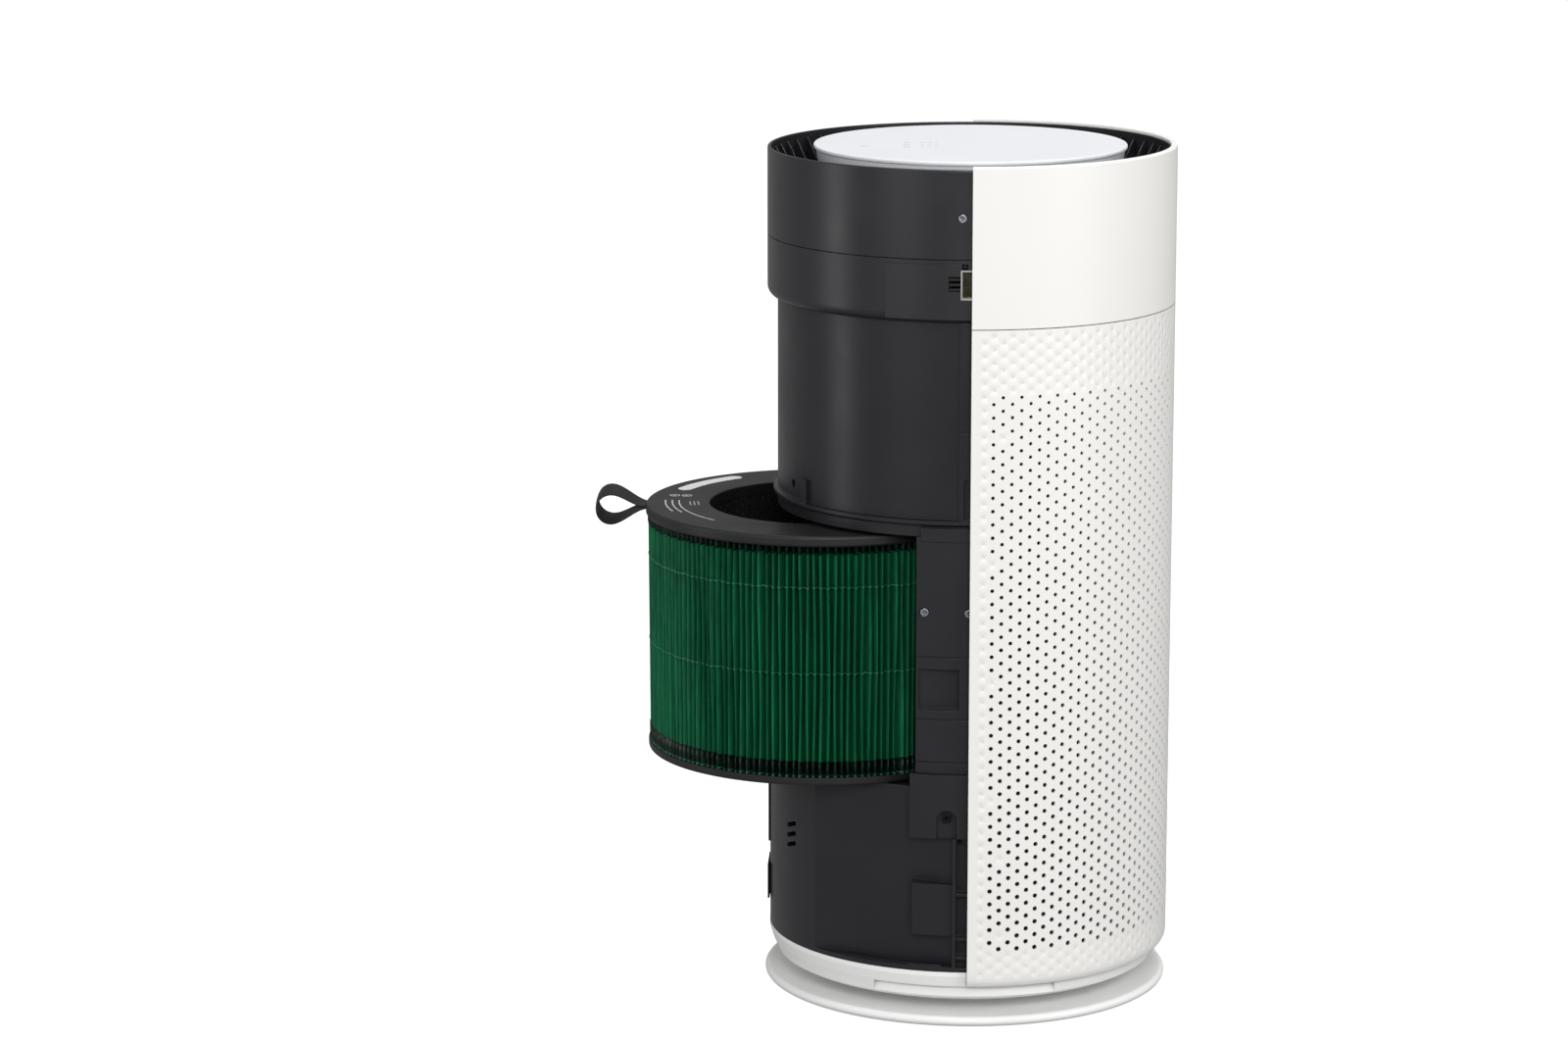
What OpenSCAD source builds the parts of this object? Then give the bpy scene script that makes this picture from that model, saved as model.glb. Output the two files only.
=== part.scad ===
// Tower air purifier with its rear cover off and its ring filter drawn part-way out.
// Frame: +Z up, origin on the floor under the tower's axis, +X through the white front cover,
// so the filter leaves towards -X and the two cover edges face -Y and +Y.

/* [Overall] */
// Height of the front cover's rim above the floor
total_h = 624; // [560:1:760]
// Outer radius of the white front cover
cover_r = 150; // [125:1:185]

/* [Covers] */
// Wall of the front cover
cover_wall = 2.4; // [1.8:0.1:3.2]
// Gap between a cover and the black shells behind it
cover_gap = 0.4; // [0.3:0.1:1]
// Distance of the cover's two upright edges in front of the axis
cover_edge_x = 2; // [0:0.5:8]
// Height of the smooth cover band above the perforated grille
smooth_h = 114.5; // [90:0.5:140]
// Height of the grille's lower lip above the floor
grille_z = 31; // [28:0.5:34]
// Height over which the grille's lower edge curves inwards
lip_h = 7; // [5:0.5:9]
// How far the grille's lower edge curves inwards
lip_in = 3.4; // [2:0.1:4]
// Thickness of the black net behind the grille
net_t = 0.8; // [0.5:0.1:1.2]

/* [Foot and tray] */
// Height of the rubber pads under the foot
pad_h = 1.5; // [1:0.1:3]
// Radius of a rubber pad
pad_r = 9; // [6:0.5:12]
// How far the foot disc stays inside the cover's radius
foot_inset = 1; // [0:0.5:10]
// Thickness of the foot disc's rounded rim
foot_rim = 7; // [5:0.5:9]
// Radius of the neck between the foot and the tray
neck_r = 95; // [70:1:100]
// Height of the tray's lower edge above the floor
tray_z = 21.4; // [19:0.2:23]
// Height of the tray's upper edge above the floor
tray_top = 41.4; // [40:0.2:46]
// Width of the finger recess on each side of the tray
recess_w = 130; // [90:1:150]

/* [Filter] */
// Height of the filter with its caps
filter_h = 183; // [150:1:200]
// How far the filter is drawn out
pull_out = 106.5; // [60:0.5:120]
// Gap between the filter and each side pillar
side_gap = 1; // [0.6:0.1:2]
// Radius of the hole through the filter
core_r = 83.5; // [70:0.5:88]
// Wall of the carbon core
core_wall = 10; // [6:0.5:14]
// Height of the top cap
cap_h = 7.8; // [6:0.1:12]
// Height of the bottom cap
base_cap_h = 5.8; // [4:0.1:9]
// Width of the pull strap
strap_w = 16; // [10:0.5:24]
// Reach of the pull strap's loop beyond the cap
strap_len = 38; // [26:1:50]

/* [Housings] */
// Height of the lower housing's deck above the floor
deck_z = 174; // [150:1:190]
// Wall of the black housings
wall = 2.4; // [2:0.1:3.5]
// Height of the upper black band
top_band_h = 63; // [50:0.5:80]
// Height of the middle black band
mid_band_h = 45; // [35:0.5:60]
// How far the rim of the upper band sits below the cover's rim
rim_drop = 2.4; // [2:0.1:6]
// How far the fan drum steps in from the bands
drum_step = 7.5; // [6:0.1:10]
// Radius of the fan's inlet
inlet_r = 84; // [65:1:88]

/* [Fan] */
// Radius of the impeller
impeller_r = 116; // [90:1:118]
// Number of impeller blades
blades = 9; // [7:1:13]
// Radius of the motor shaft
shaft_r = 4; // [3:0.5:6]
// Running clearance round the shaft
shaft_clear = 0.05; // [0.02:0.01:0.1]

/* [Outlet and display] */
// Gap left open for air round the display
outlet_w = 31; // [24:0.5:36]
// Height of the outlet louvres
louvre_h = 9; // [6:0.5:16]
// Number of outlet louvres
louvres = 60; // [30:2:80]

/* [Fasteners] */
// Head radius of the plated screws
screw_r = 3; // [2.5:0.1:4]
// Shank radius of every screw
shank_r = 1.4; // [1:0.1:2]

/* [Hidden] */
$fn = 96;
eps = 0.01;
fit = 0.3;                                  // gap between bodies that move past each other
// Radii, from the cover inwards
band_r = cover_r - cover_wall - cover_gap;
housing_r = band_r - 1.8;
drum_r = band_r - drum_step;
foot_r = cover_r - foot_inset;
filter_r = drum_r - 9.2;
pleat_r = filter_r - 2.9;
bay_y = filter_r + side_gap;                // inner face of the side pillars
pillar_r = drum_r + 1.8;
block_r = housing_r - 1.6;
pillar_x0 = -36;
pillar_x1 = 34;
wire_x = 27;
wire_y = bay_y + 3.8;
wire_r = 2.2;
duct_r = 2.8;
arch_x = -13.5;                             // screw recess in each pillar's foot
arch_r = 7.2;
arch_depth = 3.4;
// Heights
foot_z = pad_h;
foot_top = foot_z + foot_rim;
neck_z = tray_z - 6.4;
housing_top = deck_z - 3.5;
filter_z = deck_z + 0.4;
filter_top = filter_z + filter_h;
drum_z = filter_top + 1.8;                  // lower lip of the fan drum
flange_z = drum_z + 9.4;
rim_z = total_h - rim_drop;
band_top = rim_z - 0.1;
top_band_z = band_top - top_band_h;
mid_band_top = top_band_z - 0.5;
mid_band_z = mid_band_top - mid_band_h;
seam_z = total_h - smooth_h;
drum_h = mid_band_z - drum_z;
block_top = filter_z + 12.5;
block_z = deck_z - 34.2;
arch_z = block_top - 26.3 - arch_r;         // centre of the recess's round top
pillar_screw_z = drum_z - 54.5;
band_screw_z = rim_z - 34;
inlet_z = tray_top + 31;
strap_a = 176;                              // bearing of the strap's root on the filter
strap_z = filter_top - 5.4;
// Fan stack
hub_z = drum_z + drum_h * 0.66;             // underside of the impeller's back plate
motor_z = hub_z + 8;
motor_h = 34;
motor_r = 44;
mount_z = motor_z + motor_h + 3;
// Outlet and display
disc_r = band_r - wall - outlet_w;
outlet_r = band_r - wall;
louvre_z = rim_z - 29.2;
disc_top = total_h - 1;
disc_t = 3;
skirt_z = louvre_z - 3;
skirt_in = 5;                               // how far the skirt's foot is inside the disc's edge
// Facet on each side of the lower housing, from the crease to a flat beside the cover edge
crease_a = 48.5;
facet_in = 5;
facet_end = 60;

// Ring with square edges
module ring(r_out, r_in, z0, h) {
    translate([0, 0, z0]) difference() {
        cylinder(r = r_out, h = h);
        translate([0, 0, -1]) cylinder(r = r_in, h = h + 2);
    }
}

// Part of a ring between two bearings, measured from +X towards +Y
module ring_part(r_out, r_in, z0, h, a0, a1) {
    rotate([0, 0, a0]) rotate_extrude(angle = a1 - a0)
        translate([r_in, z0]) square([r_out - r_in, h]);
}

// Points on an arc, with its centre, radius and end bearings
function arc(x, y, r, a0, a1, n = 6) =
    [for (i = [0:n]) [x + r * cos(a0 + (a1 - a0) * i / n), y + r * sin(a0 + (a1 - a0) * i / n)]];

// The same thing on the -Y side and, mirrored, on the +Y side
module both_sides() {
    children();
    mirror([0, 1, 0]) children();
}

// Block between two X planes, from a flat inner face out to a cylinder, on the -Y side
module side_block(x0, x1, y_in, r_out, z0, h) {
    intersection() {
        translate([0, 0, z0]) cylinder(r = r_out, h = h);
        translate([x0, -r_out - 1, z0 - 1]) cube([x1 - x0, r_out + 1 - y_in, h + 2]);
    }
}

// Block between two X planes that wraps a cylinder from r_in to r_out, on the -Y side
module side_skin(x0, x1, r_in, r_out, z0, h) {
    intersection() {
        ring(r_out, r_in, z0, h);
        translate([x0, -r_out - 1, z0 - 1]) cube([x1 - x0, r_out + 1, h + 2]);
    }
}

// Pan-head screw with a cross slot, pointing along +Y, its seat at the origin
module screw(head_r, head_h, length) {
    rotate([90, 0, 0]) difference() {
        union() {
            cylinder(r = head_r, h = head_h);
            translate([0, 0, -length]) cylinder(r = shank_r, h = length + eps);
        }
        for (a = [0, 90]) rotate([0, 0, a])
            translate([-head_r * 0.55, -0.45, head_h - 0.9]) cube([head_r * 1.1, 0.9, 2]);
    }
}

// Plan of the lower housing: a circle with a slanted and a flat facet on each side
module housing_plan(r) {
    difference() {
        circle(r = r);
        for (m = [0, 1]) mirror([0, m])
            polygon([[-r * sin(crease_a), -r * cos(crease_a)], [0, facet_in - r],
                [facet_end, facet_in - r], [facet_end, -2 * r], [-2 * r, -2 * r]]);
    }
}

module foot_base() {
    color("#F4F3F1") rotate_extrude() polygon(concat(
        [[0, foot_z + 3], [neck_r - 10, foot_z + 3], [neck_r - 10, foot_z]],
        arc(foot_r - foot_rim / 2, foot_z + foot_rim / 2, foot_rim / 2, -90, 90, 8),
        [[neck_r + 14, foot_top - 2]],
        arc(neck_r + 6, foot_top + 3.9, 6, -90, -180, 5),
        [[neck_r, neck_z], [0, neck_z]]));
}

module foot_pads() {
    color("#3A3A3C") {
        cylinder(r = pad_r, h = foot_z + 3);
        for (i = [0:5]) rotate([0, 0, 30 + 60 * i])
            translate([foot_r - 24, 0, 0]) cylinder(r = pad_r, h = pad_h);
    }
}

module base_tray() {
    tray_r = housing_r + 0.2;
    inner_r = tray_r - 4.6;
    color("#F3F2F0") difference() {
        rotate_extrude() polygon([
            [0, neck_z], [neck_r + 15, neck_z], [tray_r - 12, tray_z - 3], [tray_r - 6.6, tray_z],
            [tray_r - 2.2, grille_z], [tray_r, grille_z + lip_h], [tray_r, tray_top],
            [inner_r, tray_top], [inner_r, grille_z + lip_h], [inner_r - 5, grille_z],
            [inner_r - 8, tray_z + 2], [neck_r + 15, neck_z + 4], [0, neck_z + 4]]);
        both_sides() side_skin(-recess_w / 2, recess_w / 2, tray_r - 6.4, tray_r + 4,
            tray_z - 4, grille_z - tray_z + 3);
    }
}

module lower_housing() {
    base_z = tray_top;
    inner_r = housing_r - wall;
    slot_a = -151;
    color("#35353A") difference() {
        union() {
            difference() {
                translate([0, 0, base_z]) linear_extrude(height = housing_top - base_z)
                    housing_plan(housing_r);
                translate([0, 0, base_z - 1]) linear_extrude(height = housing_top - base_z + 2)
                    housing_plan(inner_r);
            }
            // Foot flange all the way round
            ring(housing_r, inner_r - 6, base_z, 3.4);
            both_sides() {
                // Bulge, upright rib and ledges beside the cover's edge
                side_skin(-38, -9, inner_r - 24, housing_r - 3.4, base_z + 26, 38);
                side_skin(-9, -6.5, inner_r - 6, housing_r - 0.6, base_z + 1, block_z - base_z - 1);
                for (z = [51, 65, 98])
                    side_skin(-7, 22, inner_r - 10, housing_r - 1.4, base_z + z - 42, 2.4);
                side_skin(-7, 22, inner_r - 10, housing_r - 7, base_z + 1, block_z - base_z - 1);
                // Raised lip along the flange
                side_skin(-41, -17, housing_r - 3, housing_r - 0.8, base_z + 3, 1.8);
            }
        }
        // Room beside the rib for the ledges
        both_sides() difference() {
            side_skin(-6.5, 20, housing_r - 7, housing_r + 1, base_z + 3.4, block_z - base_z - 8);
            for (z = [51, 65, 98])
                side_skin(-8, 24, inner_r - 10, housing_r - 1.4, base_z + z - 42, 2.4);
        }
        // Three slanted slots for the dust sensor
        for (i = [-1:1]) rotate([0, 0, slot_a]) translate([housing_r - 6, 0, deck_z - 51 + 7.5 * i])
            rotate([90, 0, 90]) linear_extrude(height = 12)
                polygon([[-7, -2.8], [-4.5, -3.2], [7, 0.6], [7, 2.8], [4.5, 3.2], [-7, -0.6]]);
        // Hole for the mains inlet
        translate([-housing_r, 0, inlet_z]) cube([20, 31, 21], center = true);
        // Pilot holes for the screws through the pillars' feet
        both_sides() translate([arch_x, -block_r, arch_z + 1.5]) rotate([-90, 0, 0])
            cylinder(r = shank_r, h = 14);
    }
}

module filter_deck() {
    stop_r = filter_r + 1.2;
    inner_facet = (housing_r - wall) * cos(crease_a / 2) - facet_in;
    color("#2E2E32") {
        translate([0, 0, housing_top]) linear_extrude(height = deck_z - housing_top) difference() {
            housing_plan(housing_r);
            translate([wire_x, wire_y]) circle(r = duct_r);
        }
        ring_part(stop_r + 2.4, stop_r, deck_z - eps, 7, -55, 55);
        ring(inner_facet - 0.5, inner_facet - 4.5, housing_top - 3, 3 + eps);
    }
}

module rear_hooks() {
    color("#2B2B2F") for (z = [deck_z - 72, deck_z - 46])
        ring_part(housing_r + 1.4, housing_r, z, 24, 175, 185);
}

module power_inlet() {
    depth = 22;
    bezel = 1.4;
    color("#1E1E20") difference() {
        union() {
            translate([-housing_r, -15.2, inlet_z - 10.2]) cube([depth, 30.4, 20.4]);
            translate([-housing_r - bezel, -18, inlet_z - 13]) cube([bezel, 36, 26]);
        }
        translate([-housing_r - bezel - 1, -11.5, inlet_z - 7]) cube([depth - 3, 23, 14]);
    }
    color("#C9C9C4") for (y = [-5, 5]) translate([-housing_r + 4, y, inlet_z])
        rotate([0, 90, 0]) cylinder(r = 1.2, h = depth - 6);
}

module power_board() {
    color("#2F6B3C") translate([-70, -50, tray_top + 14]) cube([140, 100, 1.6]);
    color("#D9D9D6") for (x = [-60, 60], y = [-40, 40])
        translate([x, y, neck_z + 4]) cylinder(r = 3, h = tray_top + 14 - neck_z - 4);
}

module board_parts() {
    z = tray_top + 15.6;
    color("#3B3B3B") translate([-55, -32, z]) cube([38, 30, 26]);
    color("#1F3A66") for (i = [0:3])
        translate([10 + 15 * i, -30, z]) cylinder(r = 6.2, h = i < 2 ? 30 : 20);
    color("#B9B9B6") translate([5, 10, z]) cube([50, 4, 34]);
    color("#E8E6DC") translate([-52, 24, z]) cube([34, 9, 11]);
}

// Sensor box with an air duct to the slots, hung from the deck
module dust_sensor() {
    color("#26262A") rotate([0, 0, -151]) difference() {
        union() {
            translate([housing_r - 31, -24, deck_z - 70]) cube([26, 48, 38]);
            translate([housing_r - 8, -9, deck_z - 64]) cube([8 - wall - 0.4, 18, 26]);
            translate([housing_r - 31, -24, deck_z - 40]) cube([3, 48, housing_top - deck_z + 40]);
        }
        translate([housing_r - 20, -7, deck_z - 62]) cube([20, 14, 22]);
    }
}

module gas_sensor() {
    color("#B4B4B0") rotate([0, 0, 151]) {
        translate([housing_r - 31, 0, deck_z - 55]) rotate([0, 90, 0]) cylinder(r = 5, h = 12);
        translate([housing_r - 32, -12, deck_z - 66]) cube([2, 24, housing_top - deck_z + 66]);
    }
}

// Upright that carries the fan section, with a pocket, a wire duct and a lap over the drum
module pillar() {
    height = drum_z - block_top;
    pocket_z = block_top + 47;
    color("#36363B") difference() {
        union() {
            side_block(pillar_x0, pillar_x1, bay_y, pillar_r, block_top, height);
            side_skin(pillar_x0 + 3, cover_edge_x + 14, drum_r + fit, pillar_r + 0.6, drum_z - 3, 9.6);
        }
        translate([pillar_x0 + 2, -pillar_r - 1, pocket_z]) cube([29, 7, 29.6]);
        for (z = [block_top + 8, block_top + 39.5, block_top + 85])
            side_skin(pillar_x0 - 1, pillar_x1 + 1, pillar_r - 0.6, pillar_r + 1, z, 0.9);
        for (x = [-30, 1.5]) translate([x, pillar_seat(x), pillar_screw_z]) {
            rotate([90, 0, 0]) cylinder(r = screw_r + 0.5, h = 5);
            rotate([-90, 0, 0]) cylinder(r = shank_r, h = 5);
        }
        // Duct for the wires, and the plug's seat at its top
        translate([wire_x, -wire_y, block_top - 1]) cylinder(r = duct_r, h = height + 2);
        translate([wire_x - 5, -wire_y - 2.7, drum_z - 10]) cube([10, 5.4, 11]);
    }
}

// Flat seat of a pillar screw, a little under the pillar's round face
function pillar_seat(x) = 1.2 - sqrt(pillar_r * pillar_r - x * x);

module left_pillar() pillar();
module right_pillar() mirror([0, 1, 0]) pillar();

module pillar_screws() {
    color("#C8C8CA") both_sides() for (x = [-30, 1.5])
        translate([x, pillar_seat(x), pillar_screw_z]) screw(screw_r, 1.6, 4.8);
}

// Foot of a pillar, with an arched recess for its screw
module block() {
    color("#39393E") difference() {
        side_skin(-40, pillar_x1, bay_y - 24, block_r, block_z, block_top - block_z - 0.1);
        translate([0, 0, block_z - 1]) linear_extrude(height = deck_z - block_z + 1 + 0.1)
            housing_plan(housing_r + eps);
        translate([-60, -bay_y, deck_z]) cube([120, bay_y, 60]);
        translate([arch_x, -block_r + arch_depth, arch_z]) rotate([90, 0, 0])
            cylinder(r = arch_r, h = 20);
        translate([arch_x - arch_r, -block_r - 10 + arch_depth, block_z - 1])
            cube([2 * arch_r, 10, arch_z - block_z + 1]);
        translate([arch_x, -block_r - 1, arch_z + 1.5]) rotate([-90, 0, 0])
            cylinder(r = shank_r, h = 30);
        translate([wire_x, -wire_y, deck_z - 1]) cylinder(r = duct_r, h = 40);
    }
}

module left_block() block();
module right_block() mirror([0, 1, 0]) block();

module block_screws() {
    color("#1A1A1C") both_sides() translate([arch_x, -block_r + arch_depth, arch_z + 1.5])
        screw(screw_r + 0.6, 2, 9);
}

module front_posts() {
    height = drum_z - deck_z;
    color("#313135") for (a = [-38, 0, 38]) difference() {
        ring_part(drum_r + 1, filter_r + 4.2, deck_z, height, a - 5, a + 5);
        ring_part(drum_r + 2, drum_r - 2, deck_z + 12, height - 24, a - 3, a + 3);
    }
}

module fan_housing() {
    bell = 6;
    lug_a = 56.5;                               // bearing of the lug, towards the open side
    color("#303034") difference() {
        union() {
            rotate_extrude() polygon(concat(
                [[inlet_r + bell, drum_z], [drum_r, drum_z], [drum_r, flange_z - 1.6],
                [drum_r + 3.1, flange_z], [drum_r + 3.1, flange_z + 2.6], [drum_r, flange_z + 3.4],
                [drum_r, mid_band_z + 6], [drum_r - wall, mid_band_z + 6],
                [drum_r - wall, drum_z + wall], [inlet_r + bell + wall, drum_z + wall]],
                arc(inlet_r + bell + wall, drum_z + wall + bell, bell, -90, -180, 5),
                [[inlet_r + wall, drum_z + 14], [inlet_r, drum_z + 14]],
                arc(inlet_r + bell, drum_z + bell, bell, 180, 270, 5)));
            both_sides() {
                // Upright duct beside the cover's edge
                side_skin(-6, 16, drum_r - wall, drum_r + 2, flange_z + 3,
                    mid_band_z - flange_z - 3);
                // Lug for the rear cover
                rotate([0, 0, -lug_a]) side_skin(-4, 4, drum_r - 1, drum_r + 2.6, flange_z, 20);
            }
        }
        both_sides() {
            // Notch at the foot of the duct and the joint line across it
            side_skin(-2.5, 20, drum_r + 0.2, drum_r + 4, flange_z + 3.4, 29);
            side_skin(-4, 20, drum_r + 1.3, drum_r + 4, flange_z + 66, 1);
            // Hole beside the lug
            rotate([0, 0, -lug_a - 8]) translate([0, -drum_r - 1, flange_z + 13.5])
                rotate([-90, 0, 0]) cylinder(r = 3.2, h = 5);
            // Seat for the pillar's lap
            side_skin(pillar_x0 + 2, cover_edge_x + 16, drum_r, drum_r + 4, drum_z - 1, 8.4);
        }
    }
}

module inlet_guard() {
    guard_r = inlet_r - 0.2;
    z = drum_z + 8;
    color("#29292C") {
        for (r = [14, 32, 50, 68]) ring(r + 1.2, r - 1.2, z, 2.4);
        ring(guard_r, guard_r - 2.4, z, 4);
        for (a = [0:45:315]) rotate([0, 0, a + 5])
            translate([14, -1, z]) cube([guard_r - 15, 2, 2.4]);
        cylinder_at(13, z, 2.4);
    }
}

// Short disc on the axis
module cylinder_at(r, z, h) translate([0, 0, z]) cylinder(r = r, h = h);

module inlet_seal() {
    color("#1C1C1E") ring(inlet_r + 17, inlet_r + 9, drum_z - 1, 1);
}

// Plan of one backward-curved blade, 2.4 mm thick
module blade_plan(r_in, r_out, thick, sweep) {
    n = 8;
    function at(i, side) = let(t = i / n, r = r_in + (r_out - r_in) * t, a = sweep * pow(t, 0.8))
        [r * cos(a) - side * thick / 2 * sin(a + 35), r * sin(a) + side * thick / 2 * cos(a + 35)];
    polygon(concat([for (i = [0:n]) at(i, -1)], [for (i = [n:-1:0]) at(i, 1)]));
}

module impeller() {
    shroud_z = drum_z + 18;
    blade_z = shroud_z + 3;
    color("#ECEBE6") difference() {
        union() {
            rotate_extrude() polygon([
                [inlet_r - 6, shroud_z], [inlet_r, shroud_z], [impeller_r, shroud_z + 12],
                [impeller_r, shroud_z + 15], [inlet_r, shroud_z + 5], [inlet_r - 6, shroud_z + 5]]);
            rotate_extrude() polygon([
                [0, hub_z - 12], [12, hub_z - 12], [24, hub_z - 3], [impeller_r, hub_z - 3],
                [impeller_r, hub_z], [0, hub_z]]);
            intersection() {
                cylinder_at(impeller_r - 0.5, blade_z, hub_z - blade_z - 1);
                translate([0, 0, blade_z]) linear_extrude(height = hub_z - blade_z - 1)
                    for (i = [0:blades - 1]) rotate(360 / blades * i)
                        blade_plan(inlet_r - 22, impeller_r + 2, 2.4, 38);
                rotate_extrude() polygon([
                    [0, blade_z], [inlet_r, blade_z], [impeller_r, shroud_z + 14],
                    [impeller_r, hub_z], [0, hub_z]]);
            }
        }
        cylinder_at(shaft_r, hub_z - 20, 30);
    }
}

module impeller_nut() {
    color("#B8B8BA") difference() {
        translate([0, 0, hub_z - 18]) cylinder(r = shaft_r + 3, h = 6, $fn = 6);
        cylinder_at(shaft_r, hub_z - 20, 12);
    }
}

module motor_shaft() {
    color("#BFC0C2") cylinder_at(shaft_r, hub_z - 20, motor_z + motor_h - hub_z + 17);
}

module motor_bearings() {
    color("#A8A9AB") for (z = [motor_z, motor_z + motor_h - 9])
        ring(shaft_r + 7, shaft_r + shaft_clear, z, 7);
}

module fan_motor() {
    color("#8E9093") difference() {
        cylinder_at(motor_r, motor_z, motor_h);
        cylinder_at(shaft_r + 1, motor_z - 1, motor_h);
        for (z = [motor_z - 1, motor_z + motor_h - 9])
            cylinder_at(shaft_r + 7, z, z < motor_z ? 8 : 7);
    }
}

module motor_mount() {
    cup_r = motor_r + 8;
    vane_r = drum_r - wall - 0.2;
    vane_h = mid_band_z + 4 - mount_z;
    color("#38383C") difference() {
        union() {
            cylinder_at(cup_r, mount_z, vane_h);
            translate([0, 0, mount_z]) linear_extrude(height = vane_h) {
                difference() {
                    circle(r = vane_r);
                    circle(r = vane_r - 2);
                }
                for (i = [0:10]) rotate(360 / 11 * i)
                    blade_plan(cup_r - 3, vane_r - 0.5, 2, -24);
            }
        }
        cylinder_at(cup_r - wall, mount_z + wall, vane_h);
        for (a = [0:120:240]) rotate([0, 0, a])
            translate([motor_r - 12, 0, mount_z - 1]) cylinder(r = 4, h = wall + 2);
    }
}

module motor_dampers() {
    color("#202022") for (a = [0:120:240]) rotate([0, 0, a])
        translate([motor_r - 12, 0, 0]) difference() {
            union() {
                translate([0, 0, motor_z + motor_h]) cylinder(r = 7, h = mount_z - motor_z - motor_h);
                translate([0, 0, mount_z - eps]) cylinder(r = 4, h = wall + 2 * eps);
                translate([0, 0, mount_z + wall]) cylinder(r = 7, h = 2.4);
            }
            translate([0, 0, motor_z + motor_h - 1]) cylinder(r = 1.6, h = 20);
        }
}

module motor_screws() {
    z = mount_z + wall + 2.4;
    color("#B8B8BA") for (a = [0:120:240]) rotate([0, 0, a])
        translate([motor_r - 12, 0, 0]) {
            translate([0, 0, z]) cylinder(r = 3.6, h = 2);
            translate([0, 0, motor_z + motor_h]) cylinder(r = 1.6, h = z - motor_z - motor_h + eps);
        }
}

module middle_band() {
    corner = 7;
    inner_r = drum_r + 0.2;
    pad_x = -59;
    color("#3A3A3E") difference() {
        union() {
            rotate_extrude() polygon(concat(
                [[inner_r, mid_band_z]],
                arc(band_r - corner, mid_band_z + corner, corner, -84, 0, 6),
                [[band_r, mid_band_top], [band_r - wall, mid_band_top]],
                arc(band_r - corner, mid_band_z + corner, corner - wall, 0, -80, 5),
                [[inner_r, mid_band_z + wall]]));
            ring(band_r - 0.2, drum_r - wall - 4, mid_band_top - 3, 3);
            ring(band_r - 1.6, drum_r - wall - 4, mid_band_top - 1, top_band_z - mid_band_top + 1);
            // Raised pad beside the cover's edge
            both_sides() side_skin(pad_x, cover_edge_x - 0.6, band_r - 1, band_r + 0.8,
                mid_band_z + 3, mid_band_h - 6);
        }
        both_sides() {
            // Seat for the catch plate and its fork
            side_block(-6.2, 9.2, band_r - 5, band_r + 3, mid_band_z + 17, 21.4);
            side_block(-14.6, -6, band_r - 3, band_r + 3, mid_band_z + 23, 10.5);
            // Window for the switch's plunger
            side_block(-5.2, -0.8, band_r - 8, band_r + 3, mid_band_top - 6.2, 3.4);
        }
    }
}

module catch_plates() {
    z0 = mid_band_z + 17.2;
    tall = 21;
    color("#B9B7AE") both_sides() difference() {
        side_block(-6, 9, band_r - 4.8, band_r - 0.2, z0, tall);
        side_block(-4.8, 7.8, band_r - 3, band_r + 1, z0 + 1.2, tall - 2.4);
    }
}

module catch_forks() {
    color("#232326") both_sides() for (i = [0:2])
        translate([-14.4, -band_r - 0.2, mid_band_z + 23.4 + 3.6 * i]) cube([8.1, 2.8, 2]);
}

module safety_switch() {
    color("#1F1F22") difference() {
        translate([-14, -(band_r - 9), mid_band_top - 15]) cube([24, 10, 12]);
        translate([-5, -(band_r - 8), mid_band_top - 6]) cube([4, 14, 3]);
    }
}

module switch_plunger() {
    x0 = -5 + 0.3;
    tip_y = -(band_r - 2.2);
    color("#242427") translate([x0, tip_y, mid_band_top - 6 + 0.3]) cube([3.4, 9, 2.4]);
}

module outlet_housing() {
    lip = 1.2;
    color("#36363A") difference() {
        union() {
            rotate_extrude() polygon(concat(
                [[outlet_r - 12, top_band_z], [band_r, top_band_z]],
                arc(band_r - lip, band_top - lip, lip, 0, 90, 4),
                arc(outlet_r + 0.6, band_top - 0.6, 0.6, 90, 180, 3),
                [[outlet_r, top_band_z + wall], [outlet_r - 12, top_band_z + wall]]));
            both_sides() translate([-5, -band_r + 1, band_screw_z])
                rotate([-90, 0, 0]) cylinder(r = screw_r + 1.6, h = 7);
        }
        both_sides() translate([-5, -band_r + 1.4, band_screw_z]) {
            rotate([90, 0, 0]) cylinder(r = screw_r + 0.5, h = 5);
            rotate([-90, 0, 0]) cylinder(r = shank_r, h = 5);
        }
    }
}

module outlet_louvres() {
    hub_r = disc_r - skirt_in;
    color("#1D1D20") translate([0, 0, louvre_z]) {
        linear_extrude(height = louvre_h) {
            for (i = [0:louvres - 1]) rotate(360 / louvres * (i + 0.5))
                translate([hub_r + 1, -0.55]) square([outlet_r - hub_r - 2.4, 1.1]);
            difference() {
                circle(r = outlet_r - 0.2);
                circle(r = outlet_r - 2);
            }
            difference() {
                circle(r = hub_r + 2);
                circle(r = hub_r);
            }
        }
    }
}

module display_skirt() {
    top_r = disc_r - 1.4;
    low_r = disc_r - skirt_in;
    color("#B9BABF") rotate_extrude() polygon([
        [low_r - 30, skirt_z], [low_r, skirt_z], [low_r, louvre_z + louvre_h],
        [top_r, disc_top - disc_t], [top_r - 3, disc_top - disc_t],
        [low_r - 2.6, louvre_z + louvre_h], [low_r - 2.6, skirt_z + 2.4], [low_r - 30, skirt_z + 2.4]]);
}

module display_panel() {
    edge = 1.2;
    color("#E4E6EA") rotate_extrude() polygon(concat(
        [[0, disc_top - disc_t], [disc_r - 0.6, disc_top - disc_t], [disc_r, disc_top - disc_t + 0.6]],
        arc(disc_r - edge, disc_top - edge, edge, 0, 90, 5),
        [[0, disc_top]]));
}

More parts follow.
